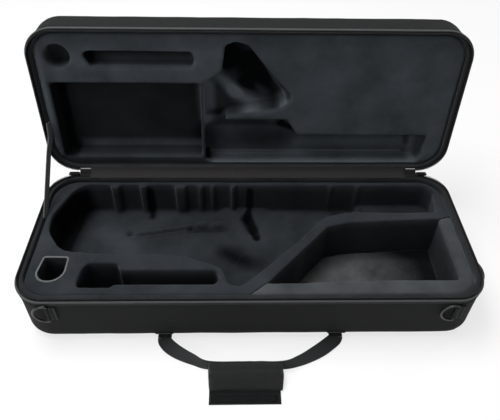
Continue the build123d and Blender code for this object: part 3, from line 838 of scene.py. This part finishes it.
# Each row of these lists is x, y, x, y, width in millimetres, then a rise in metres or a painted shade
# (below 0 a painted highlight).
KEY_PRINTS = [
    (-254, 72, -254, 72, 12, -0.0055), (-243, 70, -125, 92, 5, 0.004),
    (-245, 60, -115, 81, 4.5, 0.0035), (-235, 65, -125, 86, 5, -0.003), (-108, 95, -98, 95, 12, 0.005),
    (-72, 97, -64, 96, 11, 0.005), (-125, 80, -60, 82, 12, -0.004), (-330, 40, -240, 0, 60, 0.005),
    (-80, 40, -20, 10, 35, -0.005), (-2, 116, 15, 62, 10, -0.01), (-4, 112, 7, 84, 17, -0.012)]
BASE_PAINTED_SHADING = [
    (-190, 30, -60, 90, 50, 0.22), (-392, 0, -380, 115, 30, 0.5), (40, -15, 85, -35, 30, -0.3),
    (-385, -10, -365, 125, 42, 0.75), (-2, 122, 16, 60, 12, 1.2), (-55, 30, 35, -10, 28, 0.45),
    (-300, 75, -220, 10, 55, -0.3), (-160, 20, -70, 60, 50, -0.15), (-125, 81, -55, 83, 14, 0.35),
    (-254, 72, -254, 72, 10, 0.5), (-235, 65, -125, 86, 6, 0.3), (-212, 138, -212, 120, 12, 0.8),
    (2, 138, -4, 118, 10, 1.0), (190, 125, 190, 70, 10, 0.5), (245, 125, 245, 70, 9, 0.5),
    (300, 100, 360, 70, 20, -0.35), (-300, -110, -250, -90, 40, 0.4), (-240, -100, -70, -100, 30, 0.22),
    (-45, -100, -20, -115, 20, 0.9), (-5, 112, 7, 84, 18, 1.1), (-48, 20, -12, 4, 30, 0.32),
    (48, -56, 165, 46, 14, 0.75), (290, 66, 365, 60, 20, 0.5), (150, 100, 240, 120, 18, -0.25)]
LID_PAINTED_SHADING = [
    (-343, 272, -341, 250, 6, -1.6), (-110, 268, -107, 248, 7, -1.5), (-320, 264, -312, 246, 14, 0.9),
    (-298, 235, -117, 235, 6, -0.9), (-35, 250, 0, 195, 55, 0.85), (5, 235, 50, 160, 26, 0.75),
    (-60, 215, -45, 240, 30, 0.7), (-15, 175, 30, 135, 24, 0.5), (-90, 172, -88, 110, 26, -1.4),
    (-70, 205, -30, 160, 22, -0.9), (-30, 160, 45, 118, 26, -1.0), (68, 150, 78, 128, 22, -1.0),
    (-50, 145, -30, 128, 16, 0.15), (12, 246, 83, 140, 4, -0.6), (66, 96, 105, 80, 12, 0.9),
    (-92, 30, -88, 14, 9, 1.0), (-80, 60, 60, 60, 50, 0.45), (-330, 262, -125, 262, 22, 0.7),
    (-80, 27, 330, 27, 4.5, -0.5), (100, 50, 330, 50, 25, -0.3), (352, 60, 352, 20, 14, -0.45),
    (335, 78, 340, 50, 10, 0.6), (382, 78, 386, 30, 13, 1.2)]
# Painted shade and light on the lid's plush: above 0 painted shade, below 0 painted highlight.
LID_PATCHES = [           # x from and to, height up the lid from and to, softness, shade
    (-340, -280, 232, 216, 30, 0.4), (-420, -396, 300, 60, 10, -0.3), (-390, -98, 206, 32, 4, 0.62),
    (-410, -90, 32, -36, 10, 0.62), (-395, -372, 206, 32, 8, 0.3), (-360, -100, 50, 32, 10, -0.6),
    (-85, 75, 118, 92, 10, 0.5), (-80, 360, 23, 0, 5, -0.3), (-150, -30, 300, 190, 50, -0.12)]
# PAD_PATCHES paint shade on the compartment's floor, darker towards its right and back.
PAD_PATCHES = [(0.29, 0.45, -0.2, 0.1, 0.13, 0.95), (0.0, 0.4, 0.03, 0.1, 0.04, 0.6)]
print(len(KEY_PRINTS), "prints,", len(BASE_PAINTED_SHADING), "and", len(LID_PAINTED_SHADING), "brush lines")

# %% The plush pieces
def foam_nodes(half):
    return sorted(name for name in nodes if name.startswith(half + "_inlay_"))


bm = soft_copy(foam_nodes("base"), 0.0031, 3)
settle(bm, 0.050, 14)
settle(bm, 0.040, 150, WELL_SETTLE)
bm.normal_update()
press(bm, brush(KEY_PRINTS), 0.020, 0.038)
ripple(bm, 0.0010, 9, 60)
add_shade(bm, LAND_Z, 0.45, 0.12, 0.07, brush(BASE_PAINTED_SHADING))
piece = finish_piece("base_plush_block", bm, PLUSH, "base", foam_nodes("base"))

bm = soft_copy(foam_nodes("lid"), 0.0033, 3, True)
ripple(bm, 0.0008, 9, 60)
patches = [(x0 / 1000, x1 / 1000, lid_y(v0), lid_y(v1), soft / 1000, amount)
           for x0, x1, v0, v1, soft, amount in LID_PATCHES]
add_shade(bm, LID_LAND_Z, 0.25, 0.15, 0.05, brush(LID_PAINTED_SHADING, lid_y), patches)
piece = finish_half("lid", "_plush_block", bm, LID_PLUSH,
                    [name.removeprefix("lid") for name in foam_nodes("lid")])

bm = soft_copy(["compartment_corner"], 0.003, 2)
ripple(bm, 0.0007, 10, 60)
add_shade(bm, LAND_Z, 0.60, 0.28, 0.04)
piece = finish_piece("compartment_bar", bm, BAR, "base", ["compartment_corner"])

bm = soft_copy(["compartment_floor"], 0.0022, 2)
ripple(bm, 0.0007, 16, 80)
add_shade(bm, 0.1, 0, 0, 0.07, (), PAD_PATCHES)
piece = finish_piece("compartment_pad", bm, PLUSH_FLOOR, "base", ["compartment_floor"])

bm = soft_copy(["well_trim"], 0.0006, 1)
finish_piece("well_edging", bm, EDGING, "base", ["well_trim"])

# %% [markdown]
# Strips of webbing are grids. A strip follows a line of stations, each with a centre and the
# direction across the webbing, and a smooth curve is drawn through them. Its UV map is in metres
# too, so the ribs keep their size.

# %% Strips of cloth
def through(stations, steps):
    """A smooth curve through lists of numbers, steps points to each gap."""
    out = []
    last = len(stations) - 1
    for i in range(last):
        p0, p1, p2, p3 = (stations[min(last, max(0, i + k))] for k in (-1, 0, 1, 2))
        for k in range(steps + (i == last - 1)):
            t = k / steps
            out.append([0.5 * (2 * b + (c - a) * t + (2 * a - 5 * b + 4 * c - d) * t * t
                               + (3 * b - a - 3 * c + d) * t ** 3)
                        for a, b, c, d in zip(p0, p1, p2, p3)])
    return out


def strip(stations, width, steps=6, columns=8):
    """stations hold centre x, y, z and the across direction x, y, z."""
    line = through(stations, steps)
    bm = bmesh.new()
    bmesh.ops.create_grid(bm, x_segments=columns, y_segments=len(line) - 1, size=0.5)
    layer = bm.loops.layers.uv.new("cloth")
    lengths = [0.0]
    for a, b in zip(line, line[1:]):
        lengths.append(lengths[-1] + (Vector(b[:3]) - Vector(a[:3])).length)
    rows = {}
    for vert in bm.verts:
        row = round((vert.co.y + 0.5) * (len(line) - 1))
        rows[vert] = (row, vert.co.x * width)
        across = Vector(line[row][3:]).normalized()
        vert.co = Vector(line[row][:3]) + across * vert.co.x * width
    for face in bm.faces:
        for loop in face.loops:
            row, side_way = rows[loop.vert]
            loop[layer].uv = (lengths[row], side_way)
    bmesh.ops.recalc_face_normals(bm, faces=bm.faces)
    return bm, lengths[-1]


def seam(name, places, body, size=(0.0026, 0.0008, 0.0009)):
    """A row of stitches at the given matrices."""
    bm = copy_round(small_block(name + "_pattern", size), places)
    finish_piece(name, bm, THREAD, body)


# %% [markdown]
# The hinge is only cloth: a strip outside and a lining inside, both fixed to the two halves. At
# the left one strap of webbing keeps the lid from falling back.

# %% Hinge cloth and the lid's strap
STRAP_X, STRAP_T, WEBBING_W = -0.4068, 0.0012, 0.025


def across_hinge(piece):
    """Free a piece from its body and bake its place into its mesh."""
    piece.parent = None
    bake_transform(piece)


for node, material, slot in (("hinge_gusset", TAPE, "zip_tape"), ("hinge_lining", LINING, "hinge_lining")):
    bm = bmesh.new()
    bm.from_mesh(nodes[node].data)
    bmesh.ops.remove_doubles(bm, verts=bm.verts, dist=1e-6)
    low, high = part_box(node)
    dice(bm, 0, 0.008, low.x, high.x)
    ripple(bm, 0.0004, 30, 110)
    cloth_uv(bm)
    piece = finish_piece(node + "_cloth", bm, material, "base", [node])
    across_hinge(piece)

strap_top = TO_LID @ Vector((0, HINGE.y - 0.118, LID_H - 0.006))
line = [(0.044, 0.108), (0.070, 0.131), (0.100, 0.157), (0.146, 0.196),
        (strap_top.y - 0.012, strap_top.z - 0.03), (strap_top.y, strap_top.z)]
stations = []
for i, (y, z) in enumerate(line):
    (ya, za), (yb, zb) = line[max(0, i - 1)], line[min(len(line) - 1, i + 1)]
    run = Vector((0, yb - ya, zb - za)).normalized()
    stations.append([STRAP_X, y, z, 0, -run.z, run.y])
bm, length = strip(stations, WEBBING_W)
piece = finish_piece("lid_strap_webbing", bm, STRAP, "base", ["lid_strap"])
thicken(piece, STRAP_T)
across_hinge(piece)
print("lid strap", round(length, 3), "m")

# %% [markdown]
# The two carrying loops are one length of webbing each. The webbing leaves its sewn end flat and
# turns on its edge on the way to the grip. The lid has the same loop, folded back over its patches.

# %% Handle webbing
WEBBING_T, WEBBING_LOW = 0.0018, 0.0006
GRIP_X0, GRIP_X1 = -0.076, 0.054
HANDLE_Y, LID_LOOP_Y, LID_LOOP_Z = -0.1584, -0.133, -0.0019
LEFT = [(-160, -158.4, 1), (-159, -164, 7), (-155, -171, 17), (-145, -182, 34), (-128, -194.5, 54),
        (-104, -207, 72), (-76, -218, 86)]
RIGHT = [(54, -219, 86), (84, -211, 72), (108, -199, 54), (128, -186, 34), (144, -173, 17),
         (154, -164, 7), (158, -158.4, 1)]


def loop_stations():
    route = LEFT + [(-11, -219, 88)] + RIGHT
    out = []
    for i, (x, y, lean) in enumerate(route):
        before, after = route[max(i - 1, 0)], route[min(i + 1, len(route) - 1)]
        ahead = Vector((after[0] - before[0], after[1] - before[1], 0)).normalized()
        if i == 0 or i == len(route) - 1:
            ahead = Vector((0, -1 if i == 0 else 1, 0))
        tilt = math.radians(lean)
        across = Vector((-ahead.y, ahead.x, 0)) * math.cos(tilt) + Vector((0, 0, math.sin(tilt)))
        rise = WEBBING_LOW + WEBBING_W / 2 * math.sin(tilt) + WEBBING_T / 2 * math.cos(tilt)
        out.append([x / 1000, y / 1000, rise, *across])
    return out


bm, length = strip(loop_stations(), WEBBING_W, 8)
loop_flat = (WEBBING_W, round(length, 3))
cloth_strip("carry_webbing", bm, WEBBING, "handle", "webbing", ["handle_webbing"], WEBBING_T,
            flat=loop_flat, held="folded", rests_on=["floor"])
bm, length = strip(loop_stations(), WEBBING_W, 8)
fold = Matrix.Translation((0, (HANDLE_Y + LID_LOOP_Y) / 2, (WEBBING_LOW + LID_LOOP_Z) / 2))
bmesh.ops.transform(bm, matrix=fold @ Matrix.Rotation(math.pi, 4, "X") @ fold.inverted(), verts=bm.verts)
to_lid(bm)
cloth_strip("lid_carry_webbing", bm, WEBBING, "lid_handle", "webbing", ["lid_handle_webbing"], WEBBING_T,
            flat=loop_flat, held="hung", rests_on=["lid_cover"])
print("carrying webbing", loop_flat[1], "m each")

# %% [markdown]
# The grip is padding in a cloth wrap. Its closed form is covered in even quads, blown up a little
# by a short cloth simulation, and capped so that it stays in its place.

# %% Padded grip
def puff(bm, name, pressure, cap):
    """Swell a closed form with Blender's cloth, and limit how far each point goes."""
    rest = [v.co.copy() for v in bm.verts]
    mesh = bpy.data.meshes.new(name)
    bm.to_mesh(mesh)
    blank = add_object(name, mesh)
    cloth = blank.modifiers.new("cloth", "CLOTH")
    cloth.settings.use_pressure = True
    cloth.settings.uniform_pressure_force = pressure
    cloth.settings.effector_weights.gravity = 0
    for frame_number in range(1, 21):
        bpy.context.scene.frame_set(frame_number)
    grown = blank.evaluated_get(bpy.context.evaluated_depsgraph_get()).to_mesh()
    for vert, old, new in zip(bm.verts, rest, [v.co.copy() for v in grown.vertices]):
        step = new - old
        vert.co = old + step * min(1.0, cap / max(step.length, 1e-9))
    bpy.context.scene.frame_set(1)
    bpy.data.objects.remove(blank)


SECTION = [(-213.5, 0.9), (-212.8, 14), (-216, 22.3), (-224, 26.2), (-235, 22.6), (-240, 25.6),
           (-244.5, 25.4), (-248, 18.5), (-256, 8.6), (-262, 5.2), (-262, 0.9)]     # y and z in mm
bm = bmesh.new()
ends = [[bm.verts.new((x, y / 1000, z / 1000)) for y, z in SECTION] for x in (GRIP_X0, GRIP_X1)]
bm.faces.new(ends[0])
bm.faces.new(ends[1][::-1])
for i in range(len(SECTION)):
    bm.faces.new((ends[0][i], ends[0][i - 1], ends[1][i - 1], ends[1][i]))
bmesh.ops.recalc_face_normals(bm, faces=bm.faces)
bm = even_skin(bm, "grip_even", 0.003)
relax(bm, 3)
puff(bm, "grip_cloth", 4.0, 0.0015)
ripple(bm, 0.0008, 40, 120)
for vert in bm.verts:
    vert.co.z = max(vert.co.z, 0.0004)
cloth_uv(bm)
piece = finish_piece("grip_wrap", bm, GRIP, "handle", ["handle_grip"])

# %% [markdown]
# Below the grip its flap lies flat on the ground, with the hook strip on top and stitches round
# its edge. The handles' ends are sewn down under patches.

# %% Flap, hook strip, and the sewn ends of the handles
def flat_pad(low, high, height, cell=0.004):
    """A flat piece of cloth between two corners."""
    width, depth = high[0] - low[0], high[1] - low[1]
    bm = bmesh.new()
    bmesh.ops.create_grid(bm, x_segments=round(width / cell), y_segments=max(3, round(depth / cell)),
                          size=0.5)
    bmesh.ops.scale(bm, vec=(width, depth, 1), verts=bm.verts)
    bmesh.ops.translate(bm, vec=((low[0] + high[0]) / 2, (low[1] + high[1]) / 2, height), verts=bm.verts)
    cloth_uv(bm)
    return bm


def edge_rows(low, high, z, pitch=0.004):
    """Matrices of stitches round a rectangle."""
    along = spaced(low[0], high[0], round((high[0] - low[0]) / pitch))
    up = spaced(low[1], high[1], round((high[1] - low[1]) / pitch))
    turn = Matrix.Rotation(math.pi / 2, 4, "Z")
    return ([Matrix.Translation((x, y, z)) for y in (low[1], high[1]) for x in along]
            + [Matrix.Translation((x, y, z)) @ turn for x in (low[0], high[0]) for y in up])


def on_edge(degrees, out):
    """y and z on the base's rounded front edge, degrees up from its underside."""
    turn, reach = math.radians(degrees), EDGE_R + out
    return EDGE_R - WIDTH / 2 - reach * math.sin(turn), EDGE_R - reach * math.cos(turn)


FLAP_X0, FLAP_X1, FLAP_Y, FLAP_T = -0.074, 0.049, -0.283, 0.0019
FLAP_W = FLAP_X1 - FLAP_X0
flap_line = [(-0.2545, 0.0046), (-0.2600, 0.0042), (-0.2640, 0.0026), (-0.268, 0.0016),
             (-0.276, 0.0015), (-0.2828, 0.0015)]
bm, length = strip([[(FLAP_X0 + FLAP_X1) / 2, y, z, 1, 0, 0] for y, z in flap_line], FLAP_W, 4, 30)
ripple(bm, 0.0003, 60, 150)
cloth_strip("grip_flap_cloth", bm, FLAP, "flap", "grip_cloth", ["grip_flap"], FLAP_T,
            flat=(FLAP_W, round(length, 4)), held="laid", rests_on=["floor"])
bm = flat_pad((-0.066, -0.2805), (0.041, -0.2676), 0.0031, 0.003)
cloth_strip("hook_strip_cloth", bm, FLAP, "flap", "hook_strip", ["grip_hook_strip"], 0.0007,
            flat=(0.107, 0.0129), held="laid", rests_on=["grip_flap_cloth"])
rows = edge_rows((FLAP_X0 + 0.003, FLAP_Y + 0.0018), (FLAP_X1 - 0.003, -0.266), 0.0027)
seam("flap_stitches", rows, "flap", (0.0014, 0.0004, 0.0005))

PATCH_W, PATCH_T = 0.032, 0.0012
for side, x in (("left", -0.160), ("right", 0.158)):
    wrap = [[x, *on_edge(degrees, 0.0008), 1, 0, 0] for degrees in (25, 36, 47, 58, 69, 80)]
    bm, length = strip(wrap, PATCH_W)
    cloth_strip("handle_patch_" + side, bm, PATCH, "base", "sewn_patch", ["handle_anchors"],
                PATCH_T, flat=(PATCH_W, round(length, 3)), held="stretched", rests_on=["base_cover"])
    places = [Matrix.Translation((along, *on_edge(degrees, 0.0015)))
              @ Matrix.Rotation(math.radians(degrees), 4, "X")
              for degrees in (27, 78) for along in spaced(x - 0.013, x + 0.013, 7)]
    seam("handle_patch_stitches_" + side, places, "base")
    tail = [[x, y, WEBBING_LOW + WEBBING_T / 2, 1, 0, 0] for y in (-0.1572, -0.153, -0.149, -0.1445)]
    bm, length = strip(tail, WEBBING_W, 2)
    cloth_strip("handle_tail_" + side, bm, WEBBING, "base", "sewn_patch", (), WEBBING_T,
                flat=(WEBBING_W, round(length, 3)), held="stretched", rests_on=["handle_patch_" + side])
    bm = flat_pad((x - PATCH_W / 2, -0.131), (x + PATCH_W / 2, -0.086), -0.0008)
    to_lid(bm)
    cloth_strip("lid_patch_" + side, bm, PATCH, "lid", "sewn_patch", ["lid_handle_anchors"],
                PATCH_T, flat=(PATCH_W, 0.045), held="stretched", rests_on=["lid_cover"])
    rows = edge_rows((x - 0.0135, -0.1285), (x + 0.0135, -0.0885), -0.0016)
    seam("lid_patch_stitches_" + side, [TO_LID @ row for row in rows], "lid")

# %% [markdown]
# Each D-ring hangs in a folded tab of webbing that is sewn flat to the cover.

# %% Ring tabs
TAB_H, TAB_T, STAND, WIRE_R = 0.035, 0.0010, 0.0039, 0.0022
RINGS = {"front_left": ((-0.354, -0.1619, 0.088), 0.0), "front_right": ((0.361, -0.1619, 0.086), 0.0),
         "end_right": ((0.4209, -0.070, 0.088), math.pi / 2)}
reach = WIRE_R + 0.0008
line = [(0.0138, STAND - 0.0019), (0.009, STAND - 0.002), (0.0035, STAND - 0.0018)]
line += [(reach * math.sin(math.radians(d)), reach * math.cos(math.radians(d)))
         for d in (20, -30, -90, -150, -200)]
line += [(0.0035, STAND - 0.0004), (0.009, STAND - 0.0005), (0.0138, STAND - 0.0006)]
for place, (centre, turned) in RINGS.items():
    bm, length = strip([[a, b, 0, 0, 0, 1] for a, b in line], TAB_H, 5, 10)
    move = Matrix.Translation(centre) @ Matrix.Rotation(turned, 4, "Z")
    bmesh.ops.transform(bm, matrix=move, verts=bm.verts)
    cloth_strip("ring_tab_webbing_" + place, bm, PATCH, "base", "sewn_patch", ["ring_tabs"],
                TAB_T, flat=(TAB_H, round(length, 3)), held="folded", rests_on=["base_cover"])
    rows = [move @ Matrix.Translation((x, -0.0002, z)) @ Matrix.Rotation(math.pi / 2, 4, "Y")
            for x in (0.0045, 0.0125) for z in spaced(-TAB_H / 2, TAB_H / 2, 9)]
    seam("ring_tab_stitches_" + place, rows, "base")

# %% [markdown]
# Near each back corner the zip is closed: a short piece of tape with its teeth meshed.

# %% Closed zip ends
END_NEAR_X, END_TEETH, END_BOW = 0.3350, 7, 0.0006
END_REACHES = (-0.30, 0.10, 0.50, 0.95)     # shares of the way from the base's rim to the lid's
for side, sign in (("left", -1), ("right", 1)):
    node = "zip_end_" + side
    low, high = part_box(node)
    near_x, far_x = sign * END_NEAR_X, sign * ZIP_END_X
    width = abs(far_x - near_x)
    stations = []
    for t in END_REACHES:
        y, z = low.y + (high.y - low.y) * t, low.z + (high.z - low.z) * t
        bow = END_BOW * math.sin(math.pi * t)
        stations.append([(near_x + far_x) / 2, y + bow, z - bow, 1, 0, 0])
    bm, length = strip(stations, width, 3)
    piece = finish_piece("zip_end_tape_" + side, bm, TAPE, "base", [node])
    thicken(piece, TAPE_T)
    across_hinge(piece)
    lean = Matrix.Rotation(math.radians(45), 4, "X")
    bm = copy_round(tooth, [Matrix.Translation((x, (low.y + high.y) / 2, (low.z + high.z) / 2)) @ lean
                            for x in spaced(near_x, far_x, END_TEETH)])
    piece = finish_piece("zip_end_teeth_" + side, bm, TEETH, "base")
    across_hinge(piece)

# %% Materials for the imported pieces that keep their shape
for material, kept in ((SLIDER, ("slider_left", "slider_right", "pull_left", "pull_right")),
                       (RING, ("dee_ring_front_left", "dee_ring_front_right", "dee_ring_end_right")),
                       (FOAM, ("base_core", "lid_core"))):
    for node in kept:
        nodes[node].data.materials.clear()
        nodes[node].data.materials.append(material)
    print(material.name, "on", len(kept), "packed pieces")

# %% The scene's bounds
low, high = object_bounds()
